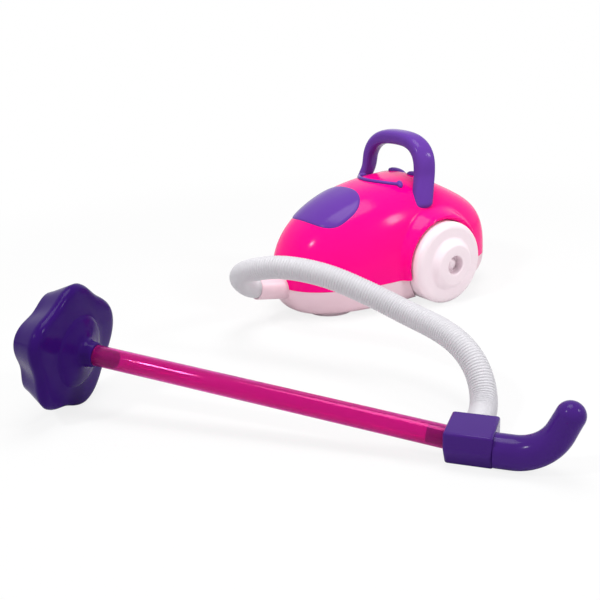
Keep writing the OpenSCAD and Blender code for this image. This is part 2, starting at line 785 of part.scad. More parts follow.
// The grip: a collar on the coupler, a bend, and a tapered end with a round tip
module grip() {
    collar = grip_r + grip_lip;
    color("#6b3fa0") wand_frame() translate([coupler_len / 2, -grip_ahead, collar + face_gap]) difference() {
        union() {
            rotate([0, 90, 0]) cylinder(r = collar, h = grip_run + grip_lap, $fn = fine);
            translate([grip_run, 0, grip_bend]) rotate([90, 0, 0]) rotate([0, 0, -90])
                rotate_extrude(angle = grip_angle, $fn = fine) translate([grip_bend, 0]) circle(r = grip_r, $fn = fine);
            translate([grip_run, 0, grip_bend]) rotate([0, -grip_angle, 0]) translate([-grip_lap, 0, -grip_bend])
                rotate([0, 90, 0]) rotate_extrude($fn = fine) {
                    polygon([[0, 0], [collar, 0], [grip_end_r, grip_up + grip_lap], [0, grip_up + grip_lap]]);
                    intersection() {
                        translate([0, grip_up + grip_lap]) circle(r = grip_end_r, $fn = fine);
                        square([grip_end_r, grip_up + grip_lap + grip_end_r]);
                    }
                }
        }
        translate([-overrun, 0, 0]) rotate([0, 90, 0]) cylinder(r = grip_r - grip_wall, h = grip_run + overrun, $fn = fine);
    }
}

module wand_tube() {
    color("#c4007a", 0.8) along_tube() translate([0, 0, -seat_depth]) difference() {
        cylinder(r = tube_r, h = tube_len + seat_depth, $fn = fine);
        translate([0, 0, -overrun]) cylinder(r = bore_r, h = tube_len + seat_depth + 2 * overrun, $fn = fine);
    }
}

// Radius of the flower's outline: a wave that is eased from the reach of one petal to that of the next
function petal_r(a) =
    let (b = a < petal_turns[0] ? a + 360 : a, i = max([for (k = [0:petals - 1]) if (petal_turns[k] <= b) k]))
    let (from = petal_turns[i], to = i + 1 < petals ? petal_turns[i + 1] : petal_turns[0] + 360)
    let (s = (b - from) / (to - from), mix = (1 - cos(180 * s)) / 2)
    let (reach_share = petal_shares[i] * (1 - mix) + petal_shares[(i + 1) % petals] * mix)
    petal_mean_r + petal_swing * (cos(360 * s) + reach_share);

// One ring of the flower's outline, drawn in by inset, at a depth behind its back
function petal_ring(inset, depth) = [for (k = [0:flower_points - 1]) let (a = 360 * k / flower_points)
    let (r = petal_r(a) - inset)
    [r * cos(a), r * sin(a), depth]];

// Cup with a rounded edge: it opens away from the tube
module flower_cup() {
    outer = [for (i = [0:round_steps]) let (a = 90 * i / round_steps)
        petal_ring(flower_round * (1 - sin(a)), flower_round * (1 - cos(a)))];
    inner = [for (i = [0:round_steps]) let (a = 90 * i / round_steps)
        petal_ring(flower_wall + (flower_round - flower_wall) * (1 - sin(a)),
            flower_back_t + (flower_round - flower_wall) * (1 - cos(a)))];
    rings = concat(outer, [petal_ring(mouth_draw, flower_depth)],
        [petal_ring(flower_wall + mouth_draw, flower_depth)], [for (i = [round_steps:-1:0]) inner[i]]);
    last = len(rings) - 1;
    skin = [for (i = [0:last - 1], k = [0:flower_points - 1])
        let (n = (k + 1) % flower_points, a = i * flower_points, b = (i + 1) * flower_points)
        each [[a + k, b + k, b + n], [a + k, b + n, a + n]]];
    polyhedron([for (ring = rings) each ring], concat(skin,
        [[for (k = [0:flower_points - 1]) k]],
        [[for (k = [flower_points - 1:-1:0]) last * flower_points + k]]), convexity = 8);
}

module flower_nozzle() {
    color("#45208a") along_tube() translate([0, 0, tube_len]) {
        translate([0, 0, collar_len]) flower_cup();
        cylinder(r1 = collar_r, r2 = root_r, h = collar_len, $fn = fine);
        translate([0, 0, collar_len - cone_h]) cylinder(r1 = root_r, r2 = cone_r, h = cone_h + flower_back_t / 2, $fn = fine);
        translate([0, 0, -spigot_len]) cylinder(r = spigot_r, h = spigot_len, $fn = fine);
    }
}

body_shell();
base_tray();
front_pad();
nose_panel();
smile_trim();
left_eye();
right_eye();
carry_handle();
left_lock_pin();
right_lock_pin();
rear_axle();
left_wheel();
right_wheel();
left_axle_cap();
right_axle_cap();
base_screws();
hose_cuff();
hose();
hose_coupler();
grip();
wand_tube();
flower_nozzle();
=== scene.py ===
# %% [markdown]
# # A toy vacuum cleaner
# The real toy is a pink canister on two milky wheels. A ribbed hose joins it to a wand: a clear tube with a
# bent grip at one end and a flower-shaped nozzle at the other. The solids of the toy come from its CAD
# source. This lesson dresses them: each moulded piece is made again with a smooth skin, rounded edges and a
# finish.

# %% Load the solids
from math import acos, atan2, copysign, cos, floor, hypot, pi, radians, sin, sqrt

import bmesh
import bpy
from mathutils import Matrix, Vector


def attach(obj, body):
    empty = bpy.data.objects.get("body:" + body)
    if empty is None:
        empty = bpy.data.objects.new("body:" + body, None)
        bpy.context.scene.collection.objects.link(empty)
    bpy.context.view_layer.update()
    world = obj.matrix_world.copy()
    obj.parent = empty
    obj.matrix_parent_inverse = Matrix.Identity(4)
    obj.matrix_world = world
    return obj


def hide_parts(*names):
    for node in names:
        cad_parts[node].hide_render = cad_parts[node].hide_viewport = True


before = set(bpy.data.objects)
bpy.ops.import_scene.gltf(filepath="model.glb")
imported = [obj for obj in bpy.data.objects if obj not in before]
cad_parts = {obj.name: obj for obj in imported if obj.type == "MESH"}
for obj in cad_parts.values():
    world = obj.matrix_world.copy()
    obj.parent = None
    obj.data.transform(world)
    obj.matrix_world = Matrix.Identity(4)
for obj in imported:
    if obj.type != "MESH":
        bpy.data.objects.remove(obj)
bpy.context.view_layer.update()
mm = 0.001

# %% [markdown]
# The photograph looks down on the near left side of the canister. Its camera was worked out from the round
# wheel, the straight tube and the floor, so its place, its heading and its lean are given as numbers and not
# set by eye. A 54 mm lens on a 36 mm square picture gives the same flat perspective.

# %% Camera
stand = Vector((0.856, -0.601, 0.3773))
ahead = Vector((-0.7866, 0.5203, -0.3324)).normalized()
level = Vector((0.5517, 0.8340, 0)).normalized()
upward = level.cross(ahead)
lean = -0.0537
to_right = cos(lean) * level + sin(lean) * upward
to_top = -sin(lean) * level + cos(lean) * upward
facing = Matrix((to_right, to_top, -ahead)).transposed().to_4x4()
camera = bpy.data.objects.new("camera", bpy.data.cameras.new("camera"))
camera.data.lens = 54
camera.data.sensor_width = 36
camera.matrix_world = Matrix.Translation(stand) @ facing
bpy.context.collection.objects.link(camera)
bpy.context.scene.camera = camera
print("camera at", tuple(stand))

# %% [markdown]
# Every piece ends the same way: doubles are merged, the faces are turned outwards, and the mesh becomes an
# object that stands for a CAD node and rides on a body. Edges sharper than an angle stay crisp, and the rest
# are shaded smooth.

# %% Helpers that finish a piece
weld_gap = 0.02 * mm
crisp_angle = 40


def add_object(name, bm):
    """Turn a bmesh into an object of the scene."""
    mesh = bpy.data.meshes.new(name)
    bm.to_mesh(mesh)
    bm.free()
    made = bpy.data.objects.new(name, mesh)
    bpy.context.collection.objects.link(made)
    return made


def shade(mesh, sharp):
    """Shade a mesh smooth and keep edges crisp where they bend more than an angle in degrees."""
    mesh.shade_smooth()
    mesh.set_sharp_from_angle(angle=radians(sharp))


def finish_mesh(name, bm, body, node, sharp=crisp_angle):
    """Turn a bmesh into a smooth piece that stands for a node and rides on a body."""
    bmesh.ops.remove_doubles(bm, verts=bm.verts, dist=weld_gap)
    bmesh.ops.recalc_face_normals(bm, faces=bm.faces)
    piece = add_object(name, bm)
    shade(piece.data, sharp)
    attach(piece, body)
    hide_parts(node)
    print(name, "faces:", len(piece.data.polygons))
    return piece


print("edges crisp from", crisp_angle, "degrees")

# %% [markdown]
# Most moulded pieces are one skin wrapped round a line: a hose, a handle, a grip, even the body. One helper
# makes them all. It starts from a flat grid, rolls the grid into a tube and moves each point to its place,
# then welds the seam. Where a tube shrinks to a point, the same weld closes it. Open ends can be filled.
# Round pieces, such as the wheels, are a row of points spun about an axis.

# %% Helpers that wrap and spin
up = Vector((0, 0, 1))


def wrap(bm, around, along, place, fill=False):
    """Roll a grid into a tube: place(turn, way) gives each point, both from 0 to 1."""
    made = bmesh.ops.create_grid(bm, x_segments=around, y_segments=along, size=1)["verts"]
    for v in made:
        v.co = Vector(place((v.co.x + 1) / 2, (v.co.y + 1) / 2)) * mm
    bmesh.ops.remove_doubles(bm, verts=made, dist=weld_gap)
    if fill:
        bmesh.ops.holes_fill(bm, edges=[e for e in bm.edges if e.is_boundary], sides=0)


def spin_row(bm, points, middle, axis, steps, closed=True):
    """Join points into a row, or a loop where it is closed, and spin it once round an axis."""
    row = [bm.verts.new(p) for p in points]
    following = row[1:] + row[:1] if closed else row[1:]
    edges = [bm.edges.new(pair) for pair in zip(row, following)]
    bmesh.ops.spin(bm, geom=row + edges, cent=middle, axis=axis, angle=2 * pi, steps=steps, use_merge=True)


def bulge(value, power):
    """A power that keeps the sign, for squarish rounds."""
    return copysign(abs(value) ** power, value)


def eased(share):
    """A smooth step from 0 to 1."""
    share = max(0, min(1, share))
    return share * share * (3 - 2 * share)


print("points closer than", weld_gap / mm, "mm are welded")

# %% [markdown]
# The hose comes first, because it is the loosest piece. It is blow-moulded polyethylene with fine rings, and
# its whole length shows. Its middle line is a spline near a row of given points, the same points as in the
# CAD source. A spline bends evenly, as a springy hose does.

# %% Line of the hose
hose_points = [
    (0, -73, 41), (0, -83, 43), (0, -93, 45), (2, -103, 48), (8, -113, 55), (17, -123, 64), (29, -132, 73),
    (44, -138, 82), (61, -141, 90), (79, -138, 96), (98, -131, 101), (117, -121, 102), (137, -109, 100),
    (157, -96, 95), (177, -84, 87), (196, -73, 79), (215, -65, 72), (235, -60, 67), (255, -57, 64),
    (275, -56, 61), (294, -57, 57), (311, -59, 50), (326, -63, 41), (338, -69, 31), (348, -77, 22),
    (357, -88, 17), (367.5, -104, 17), (379, -120.5, 17)]


def spline(points, t):
    """Point of a uniform cubic spline near the points, at t counted in points."""
    p = [2 * Vector(points[0]) - Vector(points[1])] + [Vector(q) for q in points]
    p.append(2 * p[-1] - p[-2])
    i = min(len(points) - 2, floor(t))
    s = t - i
    total = (1 - s) ** 3 * p[i]
    total += (3 * s ** 3 - 6 * s * s + 4) * p[i + 1]
    total += (1 + 3 * s + 3 * s * s - 3 * s ** 3) * p[i + 2]
    total += s ** 3 * p[i + 3]
    return total / 6


def measured(points, steps=12):
    """Walk a spline and return its samples with the length run so far."""
    walk = [spline(points, i / steps) for i in range((len(points) - 1) * steps + 1)]
    run = [0.0]
    for a, b in zip(walk, walk[1:]):
        run.append(run[-1] + (b - a).length)
    return walk, run


def at_length(walk, run, s):
    """Point and heading at a length along a measured walk."""
    last = len(run) - 1
    i = max(1, next((k for k, r in enumerate(run) if r >= s), last))
    share = (s - run[i - 1]) / (run[i] - run[i - 1])
    near, far = walk[max(0, i - 2)], walk[min(last, i + 1)]
    return walk[i - 1].lerp(walk[i], share), (far - near).normalized()


hose_walk, hose_run = measured(hose_points)
hose_len = hose_run[-1]
print("hose length", round(hose_len), "mm")

# %% [markdown]
# Each ring of the hose is a rounded ridge: the radius swells and falls once per ring along the line. The skin
# is wrapped round the line with six steps to a ring, enough for a soft ridge, and both ends are filled.

# %% Ribbed hose
hose_r, rib_depth, rib_count = 12.3, 0.9, 170
rib_steps, groove_power = 6, 1.5
hose_steps = rib_count * rib_steps
hose_rings = [at_length(hose_walk, hose_run, hose_len * k / hose_steps) for k in range(hose_steps + 1)]


def hose_skin(turn, way):
    """A round ring across the line, narrower in each groove."""
    k = round(way * hose_steps)
    middle, heading = hose_rings[k]
    across = up.cross(heading).normalized()
    over = heading.cross(across)
    r = hose_r - rib_depth * (0.5 - 0.5 * cos(2 * pi * k / rib_steps)) ** groove_power
    return middle + r * (cos(2 * pi * turn) * across + sin(2 * pi * turn) * over)


bm = bmesh.new()
wrap(bm, 28, hose_steps, hose_skin, fill=True)
hose = finish_mesh("ribbed_hose", bm, "canister", "hose", sharp=75)

# %% [markdown]
# The sleeve that holds the hose is a short tube in the nose, tilted a little upwards. A profile of its wall
# is spun about its own axis, with a rounded lip at the mouth. It grips the hose.

# %% Hose sleeve
sleeve_tilt = atan2(0.2, 1)
sleeve_root = Vector((0, -58, 38))
sleeve_way = Vector((0, -cos(sleeve_tilt), sin(sleeve_tilt)))
sleeve_side = Vector((1, 0, 0))
# Each point is a radius and a length along the sleeve: the outside, the lip, the bore and the hose's stop.
sleeve_profile = [(9.5, -13), (14.25, -13), (14.25, 37), (14, 37.7), (13.4, 38), (12.8, 37.8), (12.5, 37),
                  (12.5, 15), (9.5, 15)]
bm = bmesh.new()
sleeve_points = [(sleeve_root + sleeve_side * r + sleeve_way * s) * mm for r, s in sleeve_profile]
spin_row(bm, sleeve_points, sleeve_root * mm, sleeve_way, 72)
sleeve = finish_mesh("hose_sleeve", bm, "canister", "hose_cuff", sharp=35)

# %% [markdown]
# The pink shell is one injection-moulded dome. Seen from above, from the side and across it is a squarish
# round, so a few powers describe it: the higher the power, the boxier the outline. The nose is rounder than
# the tail, and the roof falls gently from its crown to the back.

# %% Body shape
nose, tail, widest, crown = -60, 229, 92, 125
joint_h, roof_h, half_w = 38, 147, 79.5
front_power, rear_power, bonnet_power = 2.35, 3.5, 2.4
nose_section, section_gain = 2.28, 0.82
roof_fall, crown_soft, tail_power, tail_round = 0.5, 0.08, 10, 0.4


def width_at(y):
    """Half the width of the body at a place along it."""
    reach, power = (widest - nose, front_power) if y < widest else (tail - widest, rear_power)
    share = min(1, abs(y - widest) / reach)
    return half_w * (1 - share ** power) ** (1 / power)


def height_at(y):
    """Height of the roof over the joint with the base."""
    if y < crown:
        share = min(1, (crown - y) / (crown - nose))
        form = (1 - share ** bonnet_power) ** (1 / bonnet_power)
    else:
        share = min(1, (y - crown) / (tail - crown))
        fall = 1 - roof_fall * (hypot(share, crown_soft) - crown_soft)
        form = fall * (1 - share ** tail_power) ** tail_round
    return (roof_h - joint_h) * form


def section_power(y):
    """How boxy the body is across, from round at the nose to boxy at the tail."""
    return nose_section + section_gain * eased((y - nose) / (tail - nose))


def surface_z(x, y):
    """Height of the shell over a point of the plan."""
    p = section_power(y)
    share = min(1, abs(x) / max(0.001, width_at(y)))
    return joint_h + height_at(y) * (1 - share ** p) ** (1 / p)


print("shell height over the origin:", round(surface_z(0, 0), 1), "mm")

# %% [markdown]
# Over each wheel the flank swells out into a fender. On the toy it flows out of the side without a step, so
# it isn't a piece of its own: the two shapes are compared at each point, the outer one wins, and a soft blend
# hides the change. Close to the arch the fender's edge rolls in.

# %% Fenders
axle_y, axle_z, arch_r = 120, 50, 51.2
fender_x, fender_r, fender_fade = 87, 55, 26
lip_r, flank_blend = 4, 12


def fender_reach(y, z):
    """How far out the fender carries the flank here."""
    far = hypot(y - axle_y, z - axle_z)
    edge = min(1, max(0, arch_r + lip_r - far) / lip_r)
    lip = lip_r * (1 - sqrt(1 - edge ** 2))
    return fender_x * (1 - eased((far - fender_r) / fender_fade)) - lip


def flank(x, y, z):
    """Blend the side of the body with the fender, softly."""
    reach = fender_reach(y, z)
    mix = max(flank_blend - abs(abs(x) - reach), 0) / flank_blend
    return copysign(max(abs(x), reach) + mix * mix * flank_blend / 4, x)


print("fender over the axle reaches", round(fender_reach(axle_y, axle_z + fender_r), 1), "mm")

# %% [markdown]
# The dome is wrapped round the long axis with a flat underside. The two arches are then taken out with a
# Boolean against two short cylinders, as the steel of a mould does. The modifier is applied at once, so no
# cutter is left in the scene.

# %% Pink shell
arch_inner, cutter_len = 45.6, 120
spine_half = 20  # the middle of the roof, which the fenders leave alone


def body_skin(turn, way):
    """A squarish half round over a flat underside, with the fenders on its sides."""
    y = (tail + nose) / 2 - (tail - nose) / 2 * cos(pi * way)
    p, a = 2 / section_power(y), 2 * pi * turn
    x = width_at(y) * bulge(cos(a), p)
    z = joint_h + (height_at(y) * sin(a) ** p if sin(a) > 0 else 0)
    on_dome = sin(a) > -0.0001
    if on_dome and abs(x) > spine_half:
        x = flank(x, y, z)
    return x, y, z


def arch_cutters():
    """Two round cutters in one object, one for each arch."""
    bm = bmesh.new()
    for side in (1, -1):
        middle = Vector((side * (arch_inner + cutter_len / 2), axle_y, axle_z)) * mm
        lie = Matrix.Translation(middle) @ Matrix.Rotation(pi / 2, 4, "Y")
        bmesh.ops.create_cone(bm, cap_ends=True, segments=160, radius1=arch_r * mm, radius2=arch_r * mm,
                              depth=cutter_len * mm, matrix=lie)
    return add_object("arch_cutter", bm)


def cut_arches(piece):
    """Take the wheel arches out of a piece and shade the result."""
    cutter = arch_cutters()
    cut = piece.modifiers.new("arches", "BOOLEAN")
    cut.operation = "DIFFERENCE"
    cut.solver = "EXACT"
    cut.object = cutter
    evaluated = piece.evaluated_get(bpy.context.evaluated_depsgraph_get())
    mesh = bpy.data.meshes.new_from_object(evaluated)
    piece.modifiers.clear()
    piece.data = mesh
    shade(mesh, crisp_angle)
    bpy.data.objects.remove(cutter)
    print(piece.name, "after the cut:", len(mesh.polygons), "faces")


bm = bmesh.new()
wrap(bm, 200, 170, body_skin)
shell = finish_mesh("pink_shell", bm, "canister", "body_shell")
cut_arches(shell)

# %% [markdown]
# The white base closes the shell from below. Its plan is the shell's, and its side rolls in to a flat belly
# close over the floor. The rings of the wrap run from the middle of the top, over the rim and down the side,
# to the middle of the belly.

# %% White base
rim_inset, rim_top, rim_edge = 0.4, 37.8, 37.3
belly_inset, belly_h = 23, 4
top_rings, rim_rings, side_rings, belly_rings = 2, 2, 18, 2
base_rings = top_rings + rim_rings + side_rings + belly_rings


def plan_point(a, inset):
    """Point of the body's plan at an angle, moved in from its outline."""
    ahead_half = sin(a) < 0
    p = 2 / (front_power if ahead_half else rear_power)
    reach = widest - nose if ahead_half else tail - widest
    return (half_w - inset) * bulge(cos(a), p), widest + (reach - inset) * bulge(sin(a), p)


def base_skin(turn, way):
    """The top, the rim, the side that rolls in, and the belly."""
    a = 2 * pi * turn
    k = way * base_rings
    if k <= top_rings:
        share = k / top_rings
        x, y = plan_point(a, rim_inset)
        return x * share, widest + (y - widest) * share, rim_top
    k -= top_rings
    if k <= rim_rings:
        share = k / rim_rings
        x, y = plan_point(a, rim_inset * (1 - share))
        return x, y, rim_top - (rim_top - rim_edge) * share
    k -= rim_rings
    if k <= side_rings:
        turn_in = k / side_rings * pi / 2
        x, y = plan_point(a, belly_inset * (1 - cos(turn_in)))
        return x, y, rim_edge - (rim_edge - belly_h) * sin(turn_in)
    share = (side_rings + belly_rings - k) / belly_rings
    x, y = plan_point(a, belly_inset)
    return x * share, widest + (y - widest) * share, belly_h


bm = bmesh.new()
wrap(bm, 180, base_rings, base_skin)
base = finish_mesh("white_base", bm, "canister", "base_tray")
cut_arches(base)

# %% [markdown]
# The nose panel is a thin purple inlay that follows the bonnet. A disc is made by spinning a short row of
# points, so its rings can be laid on the shell: flat over most of it and rolled under at the rim. The rings
# that share a size are spun a little apart, so that each can be told from the next.

# %% Nose panel
panel_y, panel_half_w, panel_half_l, panel_power = 9, 45, 34, 2.5
# Each ring is a share of the panel's size and a height over the shell.
panel_rings = [(0, 1.5), (0.2, 1.5), (0.4, 1.5), (0.6, 1.5), (0.75, 1.5), (0.87, 1.5), (0.94, 1.45),
               (0.975, 1.3), (0.993, 0.95), (1, 0.4), (1, -1.2)]
ring_gap = 0.01
ring_at = [share + ring_gap * k for k, (share, lift) in enumerate(panel_rings)]
bm = bmesh.new()
spin_row(bm, [(r, 0, 0) for r in ring_at], (0, 0, 0), up, 96, closed=False)
for v in bm.verts:
    far = v.co.xy.length
    a = atan2(v.co.y, v.co.x)
    share, lift = panel_rings[min(range(len(ring_at)), key=lambda i: abs(ring_at[i] - far))]
    x = panel_half_w * share * bulge(cos(a), 2 / panel_power)
    y = panel_y + panel_half_l * share * bulge(sin(a), 2 / panel_power)
    v.co = Vector((x, y, surface_z(x, y) + lift)) * mm
panel = finish_mesh("nose_inlay", bm, "canister", "nose_panel", sharp=60)

# %% [markdown]
# The smile is a bead with a knob at each end. It is a small moulding pressed into the roof. The bead is
# wrapped along an arc, and each knob is a round ball, stretched until it lies across the bead's end like a
# short bar.

# %% Smile
smile_r, smile_front, smile_half = 42, 72, radians(61)
bead_r, bead_lift = 2.4, 0.7
knob_size, knob_reach = (6.6, 3.8, 3.6), 5


def smile_point(share):
    """Point of the bead's middle line, from the right end to the left."""
    a = smile_half * (2 * share - 1)
    x, y = smile_r * sin(a), smile_front + smile_r * (1 - cos(a))
    return Vector((x, y, surface_z(x, y) + bead_lift))


def smile_skin(turn, way):
    """A round ring across the bead's line."""
    middle = smile_point(way)
    heading = (smile_point(min(1, way + 0.01)) - smile_point(max(0, way - 0.01))).normalized()
    across = up.cross(heading).normalized()
    a = 2 * pi * turn
    return middle + bead_r * (cos(a) * across + sin(a) * heading.cross(across))


def ball(bm, middle, lie, size, segments):
    """A round ball squashed to half sizes in millimetres, turned by a matrix and put in its place."""
    move = Matrix.Translation(middle * mm) @ lie @ Matrix.Diagonal((*size, 1))
    bmesh.ops.create_uvsphere(bm, u_segments=segments[0], v_segments=segments[1], radius=mm, matrix=move)


def knob(bm, spot, way):
    """A short bar that lies on the shell along a way in the plan."""
    sides = (spot + knob_reach * way, spot - knob_reach * way)
    ends = [Vector((p.x, p.y, surface_z(p.x, p.y))) for p in sides]
    along = (ends[0] - ends[1]).normalized()
    across = up.cross(along).normalized()
    lie = Matrix((along, across, along.cross(across))).transposed().to_4x4()
    ball(bm, spot, lie, knob_size, (32, 20))


bm = bmesh.new()
wrap(bm, 20, 80, smile_skin, fill=True)
for end, side in ((0, -1), (1, 1)):
    knob(bm, smile_point(end), Vector((side * sin(smile_half), -cos(smile_half), 0)))
smile = finish_mesh("smile_bead", bm, "canister", "smile_trim", sharp=70)

# %% [markdown]
# The eyes are two low ovals behind the smile, pressed into the roof as well. Each is a squashed ball, sunk in
# and tipped to the slope of the roof under it.

# %% Eyes
eye_x, eye_y, eye_sink, eye_size = 18, 136, 0.3, (9.5, 13, 5)
slope_reach = 6
eyes = []
for side, node in ((1, "left_eye"), (-1, "right_eye")):
    bm = bmesh.new()
    x = side * eye_x
    rise = surface_z(x, eye_y + slope_reach) - surface_z(x, eye_y - slope_reach)
    tipped = Matrix.Rotation(atan2(rise, 2 * slope_reach), 4, "X")
    ball(bm, Vector((x, eye_y, surface_z(x, eye_y) - eye_sink)), tipped, eye_size, (48, 24))
    eyes.append(finish_mesh(node + "_oval", bm, "canister", node, sharp=70))

# %% [markdown]
# The carry handle is a thick rounded strap. Its legs lean out and forward and go into the shell's shoulders,
# and its bow leans back a little. A spline near points on the legs and the bow keeps the bend even. Each ring
# of the wrap is a squarish oval, and the ends are rounded off.

# %% Carry handle
bow_half, bow_y, bow_h = 52.5, 119, 150
bow_rise, bow_lean, bow_power = 41.2, 5, 2.7
strap_half_t, strap_gain, gain_rise = 7.4, 1.4, 40
strap_half_w, strap_power = 11.8, 2.8
toe, toe_x, end_round = 0.32, 65, 7
shoulder, foot = Vector((bow_half, bow_y, bow_h)), Vector((62.5, 105, 113))


def bow_point(a):
    """Point of the handle's bow, at an angle from the left shoulder."""
    x = bow_half * bulge(cos(a), 2 / bow_power)
    return Vector((x, bow_y + bow_lean * sin(a), bow_h + bow_rise * sin(a) ** (2 / bow_power)))


left_leg = [foot.lerp(shoulder, k / 4) for k in range(5)]
right_leg = [Vector((-p.x, p.y, p.z)) for p in reversed(left_leg)]
bow = [bow_point(pi * i / 18) for i in range(1, 18)]
handle_walk, handle_run = measured(left_leg + bow + right_leg)


def handle_skin(turn, way):
    """A squarish oval across the strap, thicker at the top and closed at the ends."""
    middle, heading = at_length(handle_walk, handle_run, handle_run[-1] * way)
    out = Vector((-heading.z, 0, heading.x)).normalized()
    near_end = min(way, 1 - way) * handle_run[-1]
    ease = sqrt(max(0, 1 - (1 - min(1, near_end / end_round)) ** 2))
    thick = strap_half_t + strap_gain * eased((middle.z - bow_h) / gain_rise)
    a = 2 * pi * turn
    side = strap_half_w * bulge(sin(a), 2 / strap_power) * Vector((toe * middle.x / toe_x, 1, 0))
    return middle + ease * (thick * bulge(cos(a), 2 / strap_power) * out + side)


bm = bmesh.new()
wrap(bm, 56, 140, handle_skin, fill=True)
handle = finish_mesh("handle_strap", bm, "canister", "carry_handle", sharp=70)

# %% [markdown]
# The wheels are hollow polypropylene mouldings, so the profile is drawn once and spun about the axle. The
# tread rolls softly into the face, and a raised middle holds a deep pocket for the axle's end. The profile
# starts at the axle hole inside, runs round the open back and the tread, and comes back down into the pocket.

# %% Wheels
wheel_r, rim_back, face_out, tread_round = 50, 48, 98, 8
middle_rise, axle_hole, pocket_end = 8.6, 3.05, 95


def arc(cx, cy, r, start, stop, steps):
    """Points of a circular corner in a profile, angles in degrees."""
    angles = [radians(start + (stop - start) * i / steps) for i in range(steps + 1)]
    return [(cx + r * cos(a), cy + r * sin(a)) for a in angles]


# Each point is a distance out along the axle and a radius. First the hub and the wall inside, then the rim.
wheel_profile = [(rim_back, axle_hole), (rim_back, 7), (88, 7), (92, 10), (92, 47)]
wheel_profile += [(rim_back + 0.5, 47), (rim_back, 47.5), (rim_back, 49.5), (rim_back + 0.5, wheel_r)]
# The tread rolls into the face, and the face rises to the middle.
wheel_profile += arc(face_out - tread_round, wheel_r - tread_round, tread_round, 90, 0, 12)
wheel_profile += [(face_out + middle_rise * eased((33 - r) / 10), r) for r in range(33, 22, -1)]
wheel_profile += [(106.8, 20), (107, 16)]
# The rounded mouth of the pocket, and its floor round the axle hole.
wheel_profile += arc(105.2, 13.2, 1.8, 0, -90, 6)
wheel_profile += [(95.2, 11.4), (pocket_end, 11), (pocket_end, axle_hole)]


def road_wheel(name, side, body, node):
    """Spin the wheel's profile about the rear axle, on one side of the toy."""
    bm = bmesh.new()
    points = [(side * out * mm, axle_y * mm, (axle_z + r) * mm) for out, r in wheel_profile]
    spin_row(bm, points, (0, axle_y * mm, axle_z * mm), (1, 0, 0), 160)
    return finish_mesh(name, bm, body, node, sharp=35)


wheels = [road_wheel("left_road_wheel", 1, "left_wheel", "left_wheel"),
          road_wheel("right_road_wheel", -1, "right_wheel", "right_wheel")]

# %% [markdown]
# The wand lies on the floor. Two frames of reference place its pieces: one flat on the floor at the coupler,
# and one along the tube, which climbs from the coupler to the flower because the flower is the taller piece.
# The climb is worked out so that the flower's lowest petal just touches the floor.

# %% Wand frames
petal_mean, petal_swing = 62, 4
petal_turns, petal_reach = [5, 78, 163, 231, 297, 365], [-1.6, 1.8, -2, -4.4, 2, -1.6]
tube_len, collar_len, edge_depth = 332, 20, 5
coupler_half, coupler_back, socket_depth = 20, 25, 11.4
tube_low_h = 19.6
before, tip = [Vector((x, y, 0)) for x, y, z in hose_points[-2:]]
hose_way = (tip - before).normalized()
yaw = atan2(hose_way.x, -hose_way.y)
coupler_spot = tip + (coupler_back - socket_depth) * hose_way
wand_floor = Matrix.Translation(coupler_spot) @ Matrix.Rotation(yaw, 4, "Z")


def petal_r(a):
    """Radius of the flower at an angle: a wave between petals, each with its own reach."""
    turn = (a * 180 / pi - petal_turns[0]) % 360 + petal_turns[0]
    i = max(k for k in range(5) if petal_turns[k] <= turn)
    s = (turn - petal_turns[i]) / (petal_turns[i + 1] - petal_turns[i])
    mix = (1 - cos(pi * s)) / 2
    reach = petal_reach[i] * (1 - mix) + petal_reach[i + 1] * mix
    return petal_mean + petal_swing * cos(2 * pi * s) + reach


flower_low = max(-petal_r(radians(a)) * cos(radians(a)) for a in range(360))
flower_reach = tube_len + collar_len + edge_depth
climb = acos(tube_low_h / hypot(flower_low, flower_reach)) - atan2(flower_reach, flower_low)
tube_foot = Matrix.Translation((-coupler_half, 0, tube_low_h))
along_tube = wand_floor @ tube_foot @ Matrix.Rotation(climb - pi / 2, 4, "Y")
print("the tube climbs", round(climb * 180 / pi, 1), "degrees")

# %% [markdown]
# The tube is extruded acrylic, open at both ends, with a wall that light goes through. A ring profile spun
# round its own axis gives the outside, the bore and the two rims in one go.

# %% Clear tube
tube_r, bore_r, tube_start, rim_cut = 10, 8.2, -4.8, 0.3


def spin_along_tube(bm, profile, steps, closed=True):
    """Spin (radius, length) points about the tube's middle line."""
    points = [along_tube @ Vector((r, 0, z)) * mm for r, z in profile]
    spin_row(bm, points, along_tube.translation * mm, along_tube.to_3x3() @ up, steps, closed)


bm = bmesh.new()
spin_along_tube(bm, [(tube_r, tube_start), (tube_r, tube_len - rim_cut), (tube_r - rim_cut, tube_len),
                     (bore_r + rim_cut, tube_len), (bore_r, tube_len - rim_cut), (bore_r, tube_start)], 72)
tube = finish_mesh("clear_tube", bm, "canister", "wand_tube", sharp=35)

# %% [markdown]
# The flower nozzle is a deep cup with five petals. Seen from behind it is softly domed: a cone rises from its
# back to the collar, and a plug goes from there into the tube. The rings of the wrap are round at the middle
# and turn into petals towards the edge, then run down the side to the mouth and back up inside.

# %% Flower nozzle
cone_r, petal_start, edge_round = 35.2, 23, 7.5
skirt_inset, skirt_depth = 13, 25
# Each row: share of petal shape, radius (or inset, once it turns into a petal), depth below the back's plane.
flower_rows = [(0, 7.9, -41), (0, 8.05, -40.6), (0, 8.05, -20), (0, 11, -20), (0, 11.5, -19.6),
               (0, 11.7, -19), (0, 12.4, -14), (0, 13, -11), (0, 14, -9.4), (0, 15.8, -8.2), (0, 23, -6.2),
               (0, 31, -3.7), (0, 33.5, -2.7), (0, 34.2, -1.9), (0, cone_r, -1.6), (0.35, 24, -1.2),
               (0.7, 17, -0.7), (1, 10, -0.2)]
